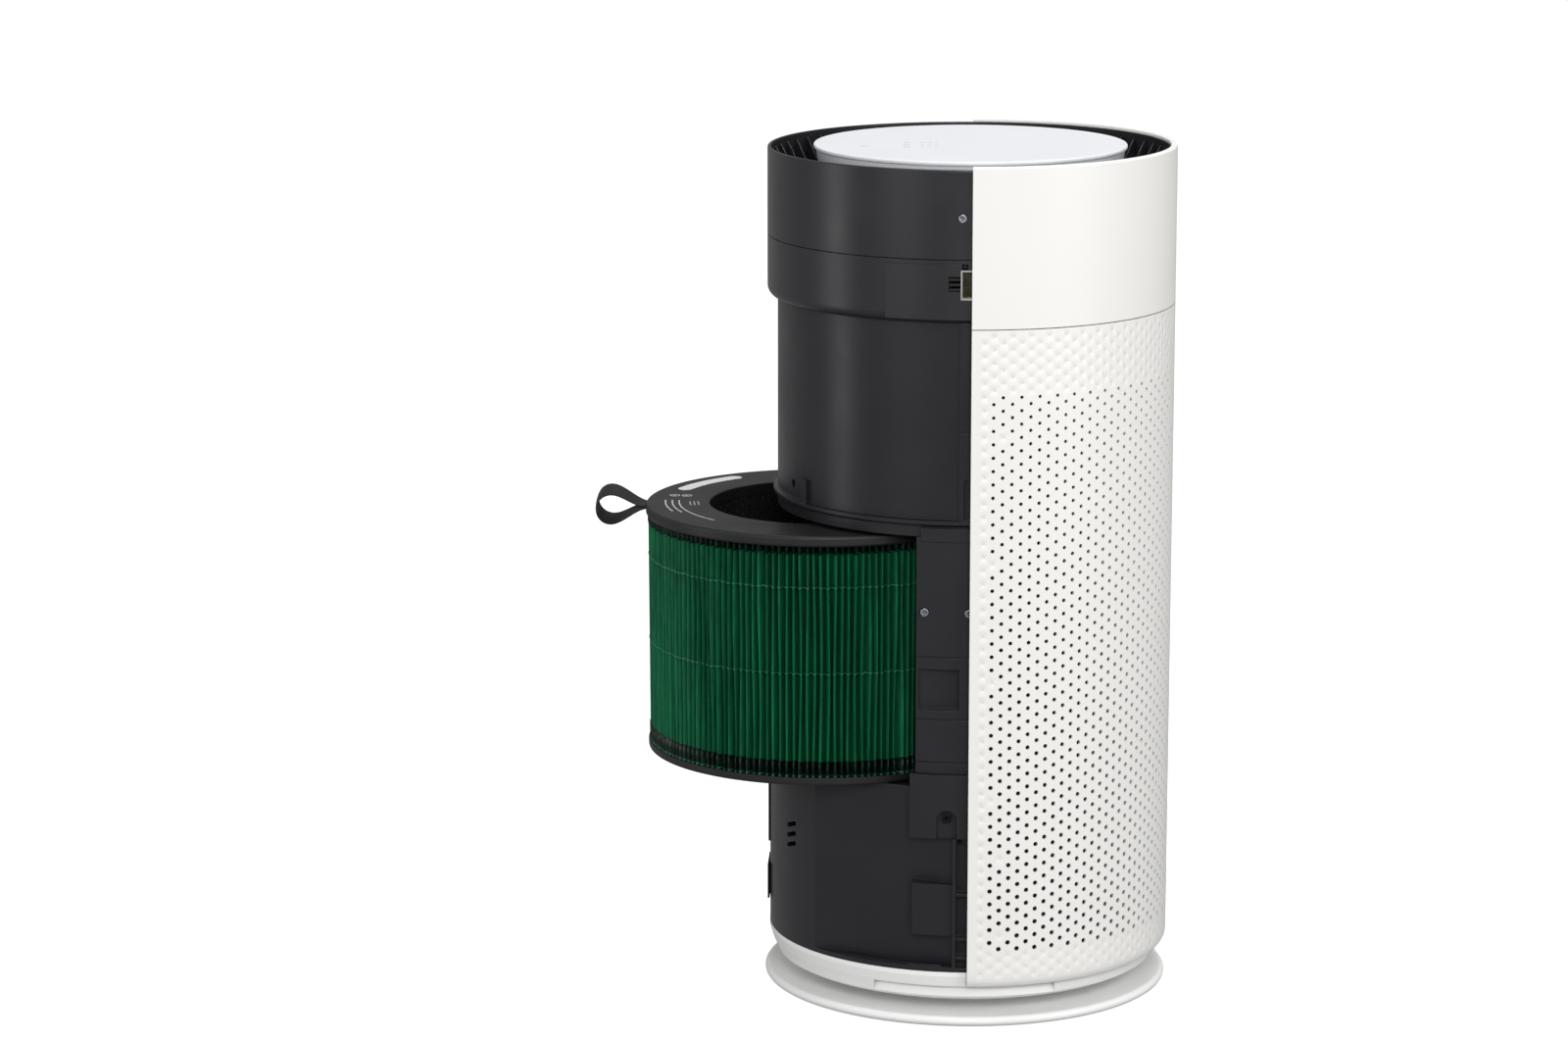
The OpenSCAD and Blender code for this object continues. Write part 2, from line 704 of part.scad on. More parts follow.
module control_board() {
    z = disc_top - disc_t;
    color("#2F6B3C") cylinder_at(82, z - 6, 1.6);
    color("#D8D8D4") for (a = [45:90:315]) rotate([0, 0, a])
        translate([72, 0, z - 4.4]) cylinder(r = 3, h = 4.4);
    color("#F3F3F0") for (x = [-60, -52, -44], y = [-6, 6])
        translate([x, y, z - 4.4]) cube([3, 3, 1.4]);
}

module band_screws() {
    color("#C8C8CA") both_sides() translate([-5, -band_r + 1.4, band_screw_z])
        screw(screw_r, 1.6, 4.8);
}

// Wires from the power board up the right pillar to a plug under the fan drum
module wire_harness() {
    low_z = tray_top + 24;
    board_y = 51;
    color("#2A2A2C") {
        translate([wire_x, wire_y, low_z]) cylinder(r = wire_r, h = drum_z - 9 - low_z);
        translate([wire_x, wire_y, low_z]) sphere(r = wire_r);
        translate([wire_x, board_y, low_z]) rotate([-90, 0, 0])
            cylinder(r = wire_r, h = wire_y - board_y);
        translate([wire_x - 5, board_y - 8, tray_top + 15.6]) cube([10, 9, 13]);
        translate([wire_x - 4.8, wire_y - 2.5, drum_z - 9.8]) cube([9.6, 5, 9.6]);
    }
}

module front_cover() {
    color("#F4F3F0") intersection() {
        rotate_extrude() polygon(concat(
            [[cover_r - cover_wall, seam_z], [cover_r - 0.9, seam_z], [cover_r - 0.9, seam_z + 0.3],
            [cover_r, seam_z + 0.3]],
            arc(cover_r - 1.4, total_h - 1.4, 1.4, 0, 90, 4),
            arc(outlet_r + 1.4, total_h - 1, 1, 90, 180, 4),
            [[outlet_r + 0.4, band_top], [cover_r - cover_wall, band_top]]));
        translate([cover_edge_x, -cover_r - 1, 0]) cube([cover_r + 2, 2 * cover_r + 2, total_h + 1]);
    }
}

module front_grille() {
    color("#F3F2EF") intersection() {
        rotate_extrude() polygon(concat(
            [[cover_r, seam_z - 0.3], [cover_r - 0.9, seam_z - 0.3], [cover_r - 0.9, seam_z],
            [cover_r - cover_wall, seam_z], [cover_r - cover_wall, grille_z + lip_h],
            [cover_r - cover_wall - lip_in * 0.35, grille_z + lip_h * 0.45],
            [cover_r - cover_wall - lip_in, grille_z], [cover_r - lip_in, grille_z],
            [cover_r - lip_in * 0.35, grille_z + lip_h * 0.45], [cover_r, grille_z + lip_h]]));
        translate([cover_edge_x, -cover_r - 1, 0]) cube([cover_r + 2, 2 * cover_r + 2, total_h + 1]);
    }
}

module grille_net() {
    net_r = cover_r - cover_wall - 0.1;
    color("#17171A") intersection() {
        ring(net_r, net_r - net_t, tray_top + 4, seam_z - tray_top - 12);
        translate([cover_edge_x + 6, -cover_r, 0]) cube([cover_r, 2 * cover_r, total_h]);
    }
}

// Everything on the filter turns about its own axis, drawn out towards -X
module drawn_out() translate([-pull_out, 0, 0]) children();

module filter_top_cap() {
    edge = 2.2;
    color("#2A2A2C") drawn_out() difference() {
        rotate_extrude() polygon(concat(
            [[core_r, filter_top - cap_h], [filter_r - 1, filter_top - cap_h],
            [filter_r, filter_top - cap_h + 1.4]],
            arc(filter_r - edge, filter_top - edge, edge, 0, 90, 5),
            arc(core_r + 1, filter_top - 1, 1, 90, 180, 3)));
        // Slot that holds the strap's ends
        rotate([0, 0, strap_a]) translate([filter_r - 6, -strap_w / 2 - 0.3, strap_z - 1.9])
            cube([8, strap_w + 0.6, 3.8]);
    }
}

module filter_bottom_cap() {
    color("#27272A") drawn_out() rotate_extrude() polygon(concat(
        [[0, filter_z]],
        arc(pleat_r - 0.2, filter_z + 1.8, 1.8, -90, 0, 4),
        [[pleat_r + 1.6, filter_z + base_cap_h], [core_r, filter_z + base_cap_h],
        [core_r - 4, filter_z + 3], [0, filter_z + 3]]));
}

module filter_pleats() {
    color("#0E6B42") drawn_out() ring(pleat_r, core_r + core_wall + 1,
        filter_z + base_cap_h, filter_h - base_cap_h - cap_h);
}

module pleat_fringes() {
    color("#12301F") drawn_out() {
        ring(pleat_r + 1.2, pleat_r, filter_z + base_cap_h, 11.3);
        ring(pleat_r + 1.2, pleat_r, filter_top - cap_h - 5.5, 5.5);
    }
}

module glue_bands() {
    color("#2E9A66") drawn_out() for (z = [filter_z + 81.1, filter_z + 144.2])
        ring(pleat_r + 0.6, pleat_r, z, 1.2);
}

module carbon_core() {
    color("#232323") drawn_out() ring(core_r + core_wall, core_r + 1.8,
        filter_z + base_cap_h, filter_h - base_cap_h - cap_h);
}

module core_net() {
    color("#18181A") drawn_out() ring(core_r + 1.7, core_r + 0.3,
        filter_z + base_cap_h, filter_h - base_cap_h - cap_h);
}

module filter_label() {
    mid_r = (core_r + filter_r) / 2 + 6;
    half_w = 5.6;
    start_a = 128;
    end_a = 157;
    color("#F2F2EE") drawn_out() {
        ring_part(mid_r + half_w, mid_r - half_w, filter_top, 0.3, start_a, end_a);
        for (a = [start_a, end_a]) rotate([0, 0, a])
            translate([mid_r, 0, filter_top]) cylinder(r = half_w, h = 0.3);
    }
}

module filter_strap() {
    thick = 1.6;
    end_r = 11.5;
    bend_x = strap_len - end_r;
    color("#1B1B1D") drawn_out() rotate([0, 0, strap_a]) translate([filter_r, 0, strap_z])
        rotate([90, 0, 0]) linear_extrude(height = strap_w, center = true) difference() {
            // Both ends lie together in the cap's slot and part into a loop outside it
            polygon(concat([[-5.6, thick], [0, thick]], arc(bend_x, 0, end_r, 100, -100, 12),
                [[0, -thick], [-5.6, -thick]]));
            polygon(concat([[5, thick * 0.6]], arc(bend_x, 0, end_r - thick, 100, -100, 12),
                [[5, -thick * 0.6]]));
        }
}

foot_base();
foot_pads();
base_tray();
lower_housing();
filter_deck();
rear_hooks();
power_inlet();
power_board();
board_parts();
dust_sensor();
gas_sensor();
left_pillar();
right_pillar();
pillar_screws();
left_block();
right_block();
block_screws();
front_posts();
fan_housing();
inlet_guard();
inlet_seal();
impeller();
impeller_nut();
motor_shaft();
motor_bearings();
fan_motor();
motor_mount();
motor_dampers();
motor_screws();
middle_band();
catch_plates();
catch_forks();
safety_switch();
switch_plunger();
outlet_housing();
outlet_louvres();
display_skirt();
display_panel();
control_board();
band_screws();
wire_harness();
front_cover();
front_grille();
grille_net();
filter_top_cap();
filter_bottom_cap();
filter_pleats();
pleat_fringes();
glue_bands();
carbon_core();
core_net();
filter_label();
filter_strap();
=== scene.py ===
"""Looks of the tower air purifier: its rear cover is off and its ring filter is drawn part-way out."""
import math
import random

import bmesh
import bpy
from mathutils import Euler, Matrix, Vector


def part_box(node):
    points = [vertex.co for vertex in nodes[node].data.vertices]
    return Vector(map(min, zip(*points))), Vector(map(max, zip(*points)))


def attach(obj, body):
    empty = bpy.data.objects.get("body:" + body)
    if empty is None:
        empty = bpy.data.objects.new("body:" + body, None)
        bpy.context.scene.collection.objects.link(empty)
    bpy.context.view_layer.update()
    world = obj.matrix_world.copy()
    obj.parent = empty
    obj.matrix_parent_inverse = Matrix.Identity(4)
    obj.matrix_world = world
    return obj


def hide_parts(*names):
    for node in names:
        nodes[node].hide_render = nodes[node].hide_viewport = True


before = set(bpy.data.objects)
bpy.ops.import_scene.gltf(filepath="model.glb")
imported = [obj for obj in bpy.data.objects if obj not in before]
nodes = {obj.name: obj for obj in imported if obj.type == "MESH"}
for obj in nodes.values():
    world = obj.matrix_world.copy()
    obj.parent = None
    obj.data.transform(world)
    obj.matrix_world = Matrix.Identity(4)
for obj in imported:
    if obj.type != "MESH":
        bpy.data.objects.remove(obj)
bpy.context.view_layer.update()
MM = 0.001

# ---------------------------------------------------------------------------
# Sizes, from the frame
# ---------------------------------------------------------------------------
grille_lo, grille_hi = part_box("front_grille")
pleats_lo, pleats_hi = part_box("filter_pleats")
cap_lo, cap_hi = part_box("filter_top_cap")
core_lo, core_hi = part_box("core_net")
disc_lo, disc_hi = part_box("display_panel")
strap_lo, strap_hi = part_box("filter_strap")

COVER_R = grille_hi.x
COVER_EDGE = grille_lo.x
FILTER_X = (cap_lo.x + cap_hi.x) / 2
CAP_R = (cap_hi.x - cap_lo.x) / 2
CAP_TOP = cap_hi.z
PLEAT_R = (pleats_hi.x - pleats_lo.x) / 2
CATCH_FACE_Y = 144.8 * MM       # the catch plates' sunk face, from the tower's axis

# Camera and studio
LENS_MM = 110.5
CAMERA_PLACE = (0, -3.477, 1.0426)
CAMERA_DOWN = math.radians(11.372)
CAMERA_LEFT = math.radians(2.228)
WORLD_STRENGTH = 0.32
FLOOR_GLOW = 0.84
FLOOR_HALF = 40


# ---------------------------------------------------------------------------
# Camera and lights
# ---------------------------------------------------------------------------
def make_camera():
    data = bpy.data.cameras.new("camera")
    data.lens = LENS_MM
    data.sensor_width = 36
    camera = bpy.data.objects.new("camera", data)
    camera.location = CAMERA_PLACE
    camera.rotation_euler = Euler((math.pi / 2 - CAMERA_DOWN, 0, CAMERA_LEFT))
    bpy.context.scene.collection.objects.link(camera)
    bpy.context.scene.camera = camera


def area_light(name, location, target, size, power):
    data = bpy.data.lights.new(name, "AREA")
    data.shape = "RECTANGLE"
    data.size, data.size_y = size
    data.energy = power
    light = bpy.data.objects.new(name, data)
    light.location = location
    light.rotation_euler = (Vector(target) - Vector(location)).to_track_quat("-Z", "Y").to_euler()
    bpy.context.scene.collection.objects.link(light)


def make_world():
    world = bpy.data.worlds.new("studio")
    world.use_nodes = True
    background = world.node_tree.nodes["Background"]
    background.inputs["Color"].default_value = (1, 1, 1, 1)
    background.inputs["Strength"].default_value = WORLD_STRENGTH
    bpy.context.scene.world = world
    bpy.context.scene.view_settings.view_transform = "Standard"


def make_lights():
    middle = (0, 0, 0.35)
    area_light("key", (0.35, -3.3, 1.7), middle, (1.3, 1.0), 56)
    area_light("fill", (2.3, -1.5, 1.2), middle, (1.0, 1.8), 26)
    area_light("left_fill", (-1.8, -2.4, 0.9), middle, (1.2, 1.2), 10)
    area_light("top", (0.2, 0.3, 2.5), middle, (1.4, 1.4), 31)
    area_light("streak", (-2.3, -0.45, 0.75), (0, 0, 0.45), (0.34, 2.2), 9)


# ---------------------------------------------------------------------------
# Materials
# ---------------------------------------------------------------------------
def colour(code):
    """Linear colour from a hexadecimal sRGB code."""
    parts = [int(code[i:i + 2], 16) / 255 for i in (0, 2, 4)]
    return tuple(p / 12.92 if p < 0.04045 else ((p + 0.055) / 1.055) ** 2.4 for p in parts) + (1,)


class Shader:
    """A Principled material that is built up from procedural layers in object space."""

    def __init__(self, name, base, rough, **sockets):
        self.material = bpy.data.materials.new(name)
        self.material.use_nodes = True
        self.material.diffuse_color = base
        self.tree = self.material.node_tree
        self.bsdf = self.tree.nodes["Principled BSDF"]
        self.bsdf.inputs["Base Color"].default_value = base
        self.bsdf.inputs["Roughness"].default_value = rough
        for socket, value in sockets.items():
            self.bsdf.inputs[socket.replace("_", " ")].default_value = value
        self.base, self.rough = base, rough
        self.place = self.add("ShaderNodeTexCoord").outputs["Object"]

    def round_edges(self, radius):
        """Shade every sharp edge as if it had that small radius."""
        node = self.add("ShaderNodeBevel", samples=4)
        node.inputs["Radius"].default_value = radius
        self.link(node.outputs["Normal"], self.bsdf.inputs["Normal"])

    def paint_recess_shade(self, distance, amount):
        """Painted shade: deepen the colour where nearby surfaces close in, as shade falls in corners
        and recesses.
        """
        node = self.add("ShaderNodeAmbientOcclusion", samples=4)
        node.inputs["Distance"].default_value = distance
        found = self.bsdf.inputs["Base Color"].links[0].from_socket
        dark = self.mix(1 - amount, (0, 0, 0, 1), found)
        self.paint(self.mix(self.remap(node.outputs["AO"], 0, 1, 0.3, 0.95), dark, found))

    def add(self, kind, **settings):
        node = self.tree.nodes.new(kind)
        for key, value in settings.items():
            setattr(node, key, value)
        return node

    def link(self, source, target):
        self.tree.links.new(source, target)

    def noise(self, scale, detail=2.0, stretch=(1, 1, 1)):
        mapping = self.add("ShaderNodeMapping")
        mapping.inputs["Scale"].default_value = stretch
        self.link(self.place, mapping.inputs["Vector"])
        noise = self.add("ShaderNodeTexNoise")
        noise.inputs["Scale"].default_value = scale
        noise.inputs["Detail"].default_value = detail
        self.link(mapping.outputs["Vector"], noise.inputs["Vector"])
        return noise.outputs["Fac"]

    def remap(self, value, low, high, start=0.3, end=0.7):
        node = self.add("ShaderNodeMapRange")
        node.inputs["From Min"].default_value = start
        node.inputs["From Max"].default_value = end
        node.inputs["To Min"].default_value = low
        node.inputs["To Max"].default_value = high
        self.link(value, node.inputs["Value"])
        return node.outputs["Result"]

    def mix(self, factor, first, second):
        node = self.add("ShaderNodeMix", data_type="RGBA")
        for socket, value in zip((node.inputs["Factor"], node.inputs[6], node.inputs[7]),
                                 (factor, first, second)):
            if hasattr(value, "is_output"):
                self.link(value, socket)
            else:
                socket.default_value = value
        return node.outputs[2]

    def paint(self, value):
        self.link(value, self.bsdf.inputs["Base Color"])

    def mottle(self, amount, scale=9.0, stretch=(1, 1, 1)):
        """Slow, slight colour variation."""
        dark = tuple(c * (1 - amount) for c in self.base[:3]) + (1,)
        light = tuple(min(1, c * (1 + amount)) for c in self.base[:3]) + (1,)
        self.paint(self.mix(self.remap(self.noise(scale, 4, stretch), 0, 1), dark, light))

    def uneven_gloss(self, amount, scale=24.0):
        rough = self.remap(self.noise(scale, 3), self.rough - amount, self.rough + amount)
        self.link(rough, self.bsdf.inputs["Roughness"])

    def bump(self, height, distance, strength=1.0):
        node = self.add("ShaderNodeBump")
        node.inputs["Strength"].default_value = strength
        node.inputs["Distance"].default_value = distance
        self.link(height, node.inputs["Height"])
        if self.bsdf.inputs["Normal"].is_linked:
            self.link(self.bsdf.inputs["Normal"].links[0].from_socket, node.inputs["Normal"])
        self.link(node.outputs["Normal"], self.bsdf.inputs["Normal"])

    def grain(self, size, depth, strength=0.5):
        """Fine moulded texture with features of about that size in metres."""
        self.bump(self.noise(1 / size, 3), depth, strength)


def plastic(name, code, rough, grain=0.0006, depth=0.00004, shade=0.02, gloss=0.04,
            edge=0.8 * MM, recess_shade=0.75, **sockets):
    shader = Shader(name, colour(code), rough, **sockets)
    shader.round_edges(edge)
    shader.mottle(shade)
    # Painted shade: the colour is darkened in corners and recesses.
    shader.paint_recess_shade(8 * MM, recess_shade)
    shader.uneven_gloss(gloss)
    shader.grain(grain, depth)
    return shader.material


def metal(name, code, rough, **sockets):
    shader = Shader(name, colour(code), rough, Metallic=1.0, **sockets)
    shader.round_edges(1.2 * MM)
    shader.mottle(0.06, 60)
    # Painted shade: the colour is darkened in slots and recesses.
    shader.paint_recess_shade(1.5 * MM, 0.9)
    shader.uneven_gloss(0.06, 180)
    shader.bump(shader.noise(900, 2, (1, 1, 0.08)), 0.00003, 0.4)
    return shader.material


def framed_metal(name, code, fill, depth):
    """Bright formed edge round a darker face that lies nearer the tower's axis than depth."""
    shader = Shader(name, colour(code), 0.3, Metallic=1.0)
    split = shader.add("ShaderNodeSeparateXYZ")
    shader.link(shader.place, split.inputs["Vector"])
    away = shader.add("ShaderNodeMath", operation="ABSOLUTE")
    shader.link(split.outputs["Y"], away.inputs[0])
    edge = shader.remap(away.outputs["Value"], 0, 1, depth, depth + 0.6 * MM)
    worn = shader.mix(shader.remap(shader.noise(260, 3), 0, 1), colour(fill), colour("4C4A3C"))
    shader.paint(shader.mix(edge, worn, shader.base))
    shader.bump(shader.noise(900, 2, (1, 1, 0.08)), 0.00003, 0.4)
    return shader.material


def circuit_board():
    shader = Shader("solder_mask", colour("2F6B3C"), 0.35)
    bricks = shader.add("ShaderNodeTexBrick")
    bricks.inputs["Scale"].default_value = 90
    bricks.inputs["Mortar Size"].default_value = 0.03
    bricks.inputs["Color1"].default_value = colour("2F6B3C")
    bricks.inputs["Color2"].default_value = colour("2A6037")
    bricks.inputs["Mortar"].default_value = colour("4C8A56")
    shader.link(shader.place, bricks.inputs["Vector"])
    shader.paint(bricks.outputs["Color"])
    shader.grain(0.0008, 0.00004)
    return shader.material


def mixed_parts():
    """Dark, blue and cream electronic parts: the colour changes from block to block."""
    shader = Shader("electronic_parts", colour("3B3B3B"), 0.45)
    cells = shader.add("ShaderNodeTexVoronoi")
    cells.inputs["Scale"].default_value = 38
    shader.link(shader.place, cells.inputs["Vector"])
    ramp = shader.add("ShaderNodeValToRGB")
    ramp.color_ramp.interpolation = "CONSTANT"
    ramp.color_ramp.elements[0].color = colour("33343A")
    ramp.color_ramp.elements[1].color = colour("1F3A66")
    ramp.color_ramp.elements[1].position = 0.45
    ramp.color_ramp.elements.new(0.75).color = colour("D8D4C4")
    split = shader.add("ShaderNodeSeparateColor")
    shader.link(cells.outputs["Color"], split.inputs["Color"])
    shader.link(split.outputs["Red"], ramp.inputs["Fac"])
    shader.paint(ramp.outputs["Color"])
    shader.grain(0.0008, 0.00003)
    return shader.material


def pleated_media():
    """Green fibre paper: mottled, with fine fibres along the folds."""
    shader = Shader("pleated_media", colour("05583A"), 0.6, Specular_IOR_Level=0.22)
    fibres = shader.noise(420, 3, (1, 1, 0.12))
    cloud = shader.noise(14, 4, (1, 1, 0.5))
    body = shader.mix(shader.remap(cloud, 0, 1), colour("03472F"), colour("086B44"))
    shader.paint(shader.mix(shader.remap(fibres, 0, 0.4), body, colour("15925F")))
    # Painted shade: the colour is darkened in the valleys between the folds.
    shader.paint_recess_shade(6 * MM, 0.6)
    shader.bump(fibres, 0.0002, 0.35)
    return shader.material


def dipped_ends():
    """Pleat ends soaked in dark glue."""
    shader = Shader("dipped_ends", colour("06140E"), 0.42, Specular_IOR_Level=0.3)
    blotch = shader.noise(260, 3)
    soaked = shader.mix(shader.remap(blotch, 0, 1), colour("050D0A"), colour("0C2F20"))
    split = shader.add("ShaderNodeSeparateXYZ")
    shader.link(shader.place, split.inputs["Vector"])
    tips = shader.remap(split.outputs["Z"], 1, 0, pleats_lo.z + 1.0 * MM, pleats_lo.z + 1.9 * MM)
    shader.paint(shader.mix(tips, soaked, colour("3C8A6A")))
    # Painted shade: the colour is darkened between the folds, on top of the glue's own dark colour.
    shader.paint_recess_shade(4 * MM, 0.9)
    shader.bump(blotch, 0.0004, 0.5)
    return shader.material


def woven_net(name, code, pitch):
    """Open weave of fine threads."""
    shader = Shader(name, colour(code), 0.7, Specular_IOR_Level=0.3)
    weave = shader.noise(1 / pitch, 1)
    dark = tuple(c * 0.4 for c in shader.base[:3]) + (1,)
    shader.paint(shader.mix(shader.remap(weave, 0, 1), dark, shader.base))
    shader.bump(weave, 0.0003, 0.6)
    return shader.material


def webbing():
    """Black woven strap with a fine twill."""
    shader = Shader("webbing", colour("0E0E10"), 0.7, Specular_IOR_Level=0.3,
                    Sheen_Weight=0.08)
    wave = shader.add("ShaderNodeTexWave", bands_direction="DIAGONAL")
    wave.inputs["Scale"].default_value = 320
    wave.inputs["Distortion"].default_value = 0.6
    shader.link(shader.place, wave.inputs["Vector"])
    threads = wave.outputs["Fac"]
    shader.paint(shader.mix(shader.remap(threads, 0, 1, 0, 1), colour("08080A"), colour("18181B")))
    shader.bump(threads, 0.0002, 0.5)
    return shader.material


def carbon_grains():
    shader = Shader("carbon_grains", colour("151516"), 0.4, Specular_IOR_Level=0.6)
    cells = shader.add("ShaderNodeTexVoronoi")
    cells.inputs["Scale"].default_value = 420
    shader.link(shader.place, cells.inputs["Vector"])
    shader.paint(shader.mix(cells.outputs["Distance"], colour("2A2A2C"), colour("0A0A0B")))
    shader.bump(cells.outputs["Distance"], 0.0008, 0.9)
    return shader.material


def foam():
    shader = Shader("foam", colour("1B1B1D"), 0.9, Specular_IOR_Level=0.2)
    shader.mottle(0.15, 300)
    shader.grain(0.0008, 0.0003, 0.8)
    return shader.material


# Every plastic below has painted shade in its recesses; the cover, foot, disc and skirt set a weaker
# one.
COVER_WHITE = plastic("cover_white", "F1F0ED", 0.4, 0.0005, 0.00002, 0.004, recess_shade=0.3)
FOOT_WHITE = plastic("foot_white", "F7F7F6", 0.34, 0.0009, 0.00001, 0.004, recess_shade=0.25)
BAND_BLACK = plastic("band_black", "222226", 0.33, 0.0005, 0.00003, Specular_IOR_Level=0.45)
HOUSING_BLACK = plastic("housing_black", "212126", 0.38, 0.0006, 0.00004, Specular_IOR_Level=0.38)
DRUM_BLACK = plastic("drum_black", "1F1F24", 0.35, 0.0006, 0.00003, Specular_IOR_Level=0.4)
DARK_PLASTIC = plastic("dark_plastic", "0C0C0E", 0.45, Specular_IOR_Level=0.35)
LOUVRE_BLACK = plastic("louvre_black", "202024", 0.3, Specular_IOR_Level=0.7)
CAP_BLACK = plastic("cap_black", "19191B", 0.46, 0.0009, 0.00008, Specular_IOR_Level=0.4)
DISC_WHITE = plastic("disc_white", "E9EBEF", 0.34, 0.0007, 0.000002, 0.003, 0.02, recess_shade=0.2)
SKIRT_SILVER = plastic("skirt_silver", "E0E1E7", 0.36, 0.0005, 0.00001, recess_shade=0.2)
RUBBER = plastic("rubber", "2A2A2C", 0.75, 0.0008, 0.0001)
FAN_PLASTIC = plastic("fan_plastic", "E4E3DE", 0.45)
LABEL_WHITE = plastic("label_white", "EDEDEB", 0.4, 0.0004, 0.00001, 0.01)
PRINT_GREY = plastic("print_grey", "D8D8DC", 0.5)
TOUCH_GREY = plastic("touch_grey", "C3C6CC", 0.4)
GLUE_GREEN = plastic("glue_green", "24805A", 0.4)
WIRE_SLEEVE = plastic("wire_sleeve", "222224", 0.55, 0.0005, 0.0001)
PLATED_STEEL = metal("plated_steel", "A9ABB1", 0.26)
BLACK_STEEL = metal("black_steel", "2A2A2D", 0.4)
GROUND_STEEL = metal("ground_steel", "BFC0C2", 0.22)
CATCH_STEEL = framed_metal("catch_steel", "D9D7D0", "3B3A2E", CATCH_FACE_Y)
CAST_METAL = metal("cast_metal", "8E9093", 0.5)
SOLDER_MASK = circuit_board()
PARTS = mixed_parts()
PLEATS = pleated_media()
DIPPED = dipped_ends()
GRILLE_NET = woven_net("grille_net_cloth", "0C0C0D", 0.0012)
CORE_NET = woven_net("core_net_cloth", "161618", 0.002)
WEBBING = webbing()
CARBON = carbon_grains()
FOAM = foam()

CAD_LOOKS = {
    "foot_base": FOOT_WHITE, "foot_pads": RUBBER, "base_tray": FOOT_WHITE,
    "lower_housing": HOUSING_BLACK, "filter_deck": HOUSING_BLACK, "rear_hooks": HOUSING_BLACK,
    "power_inlet": DARK_PLASTIC, "power_board": SOLDER_MASK, "board_parts": PARTS,
    "dust_sensor": DARK_PLASTIC, "gas_sensor": CAST_METAL, "left_pillar": HOUSING_BLACK,
    "right_pillar": HOUSING_BLACK, "pillar_screws": PLATED_STEEL, "left_block": HOUSING_BLACK,
    "right_block": HOUSING_BLACK, "block_screws": BLACK_STEEL, "front_posts": HOUSING_BLACK,
    "fan_housing": DRUM_BLACK, "inlet_guard": DARK_PLASTIC, "inlet_seal": FOAM,
    "impeller": FAN_PLASTIC, "impeller_nut": PLATED_STEEL, "motor_shaft": GROUND_STEEL,
    "motor_bearings": GROUND_STEEL, "fan_motor": CAST_METAL, "motor_mount": HOUSING_BLACK,
    "motor_dampers": RUBBER, "motor_screws": PLATED_STEEL, "middle_band": BAND_BLACK,
    "catch_plates": CATCH_STEEL, "catch_forks": DARK_PLASTIC, "safety_switch": DARK_PLASTIC,
    "switch_plunger": DARK_PLASTIC, "outlet_housing": BAND_BLACK,
    "display_skirt": SKIRT_SILVER, "display_panel": DISC_WHITE, "control_board": SOLDER_MASK,
    "band_screws": PLATED_STEEL, "wire_harness": WIRE_SLEEVE, "front_cover": COVER_WHITE,
    "grille_net": GRILLE_NET, "filter_top_cap": CAP_BLACK, "filter_bottom_cap": CAP_BLACK,
    "carbon_core": CARBON, "core_net": CORE_NET, "filter_label": LABEL_WHITE,
}


def dress_cad_nodes():
    for name, material in CAD_LOOKS.items():
        slots = nodes[name].data.materials
        for i in range(len(slots)):
            slots[i] = material


# ---------------------------------------------------------------------------
# Mesh helpers
# ---------------------------------------------------------------------------
def make_piece(name, points, faces, material, body, replaces=(), smooth_angle=40):
    mesh = bpy.data.meshes.new(name)
    mesh.from_pydata(points, [], faces)
    mesh.validate()
    mesh.materials.append(material)
    piece = bpy.data.objects.new(name, mesh)
    bpy.context.scene.collection.objects.link(piece)
    build = bmesh.new()
    build.from_mesh(mesh)
    bmesh.ops.recalc_face_normals(build, faces=build.faces)
    build.to_mesh(mesh)
    build.free()
    mesh.shade_smooth()
    mesh.set_sharp_from_angle(angle=math.radians(smooth_angle))
    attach(piece, body)
    if replaces:
        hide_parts(*replaces)
    return piece


class Mesh:
    """Collects points and faces, with points shared by key."""

    def __init__(self):
        self.points, self.faces, self.keys = [], [], {}

    def point(self, place, key=None):
        if key is not None and key in self.keys:
            return self.keys[key]
        self.points.append(tuple(place))
        if key is not None:
            self.keys[key] = len(self.points) - 1
        return len(self.points) - 1

    def face(self, *corners):
        self.faces.append(corners)

    def band(self, first, second):
        """Quads between two closed loops of equally many points."""
        n = len(first)
        for i in range(n):
            self.face(first[i], first[(i + 1) % n], second[(i + 1) % n], second[i])

    def stitch(self, outer, inner):
        """Faces between an outer loop and an inner loop with a whole number of times its points."""
        n, ratio = len(outer), len(inner) // len(outer)
        for i in range(n):
            start = i * ratio
            ring = [inner[(start + k) % len(inner)] for k in range(ratio + 1)]
            self.face(outer[i], outer[(i + 1) % n], *reversed(ring))


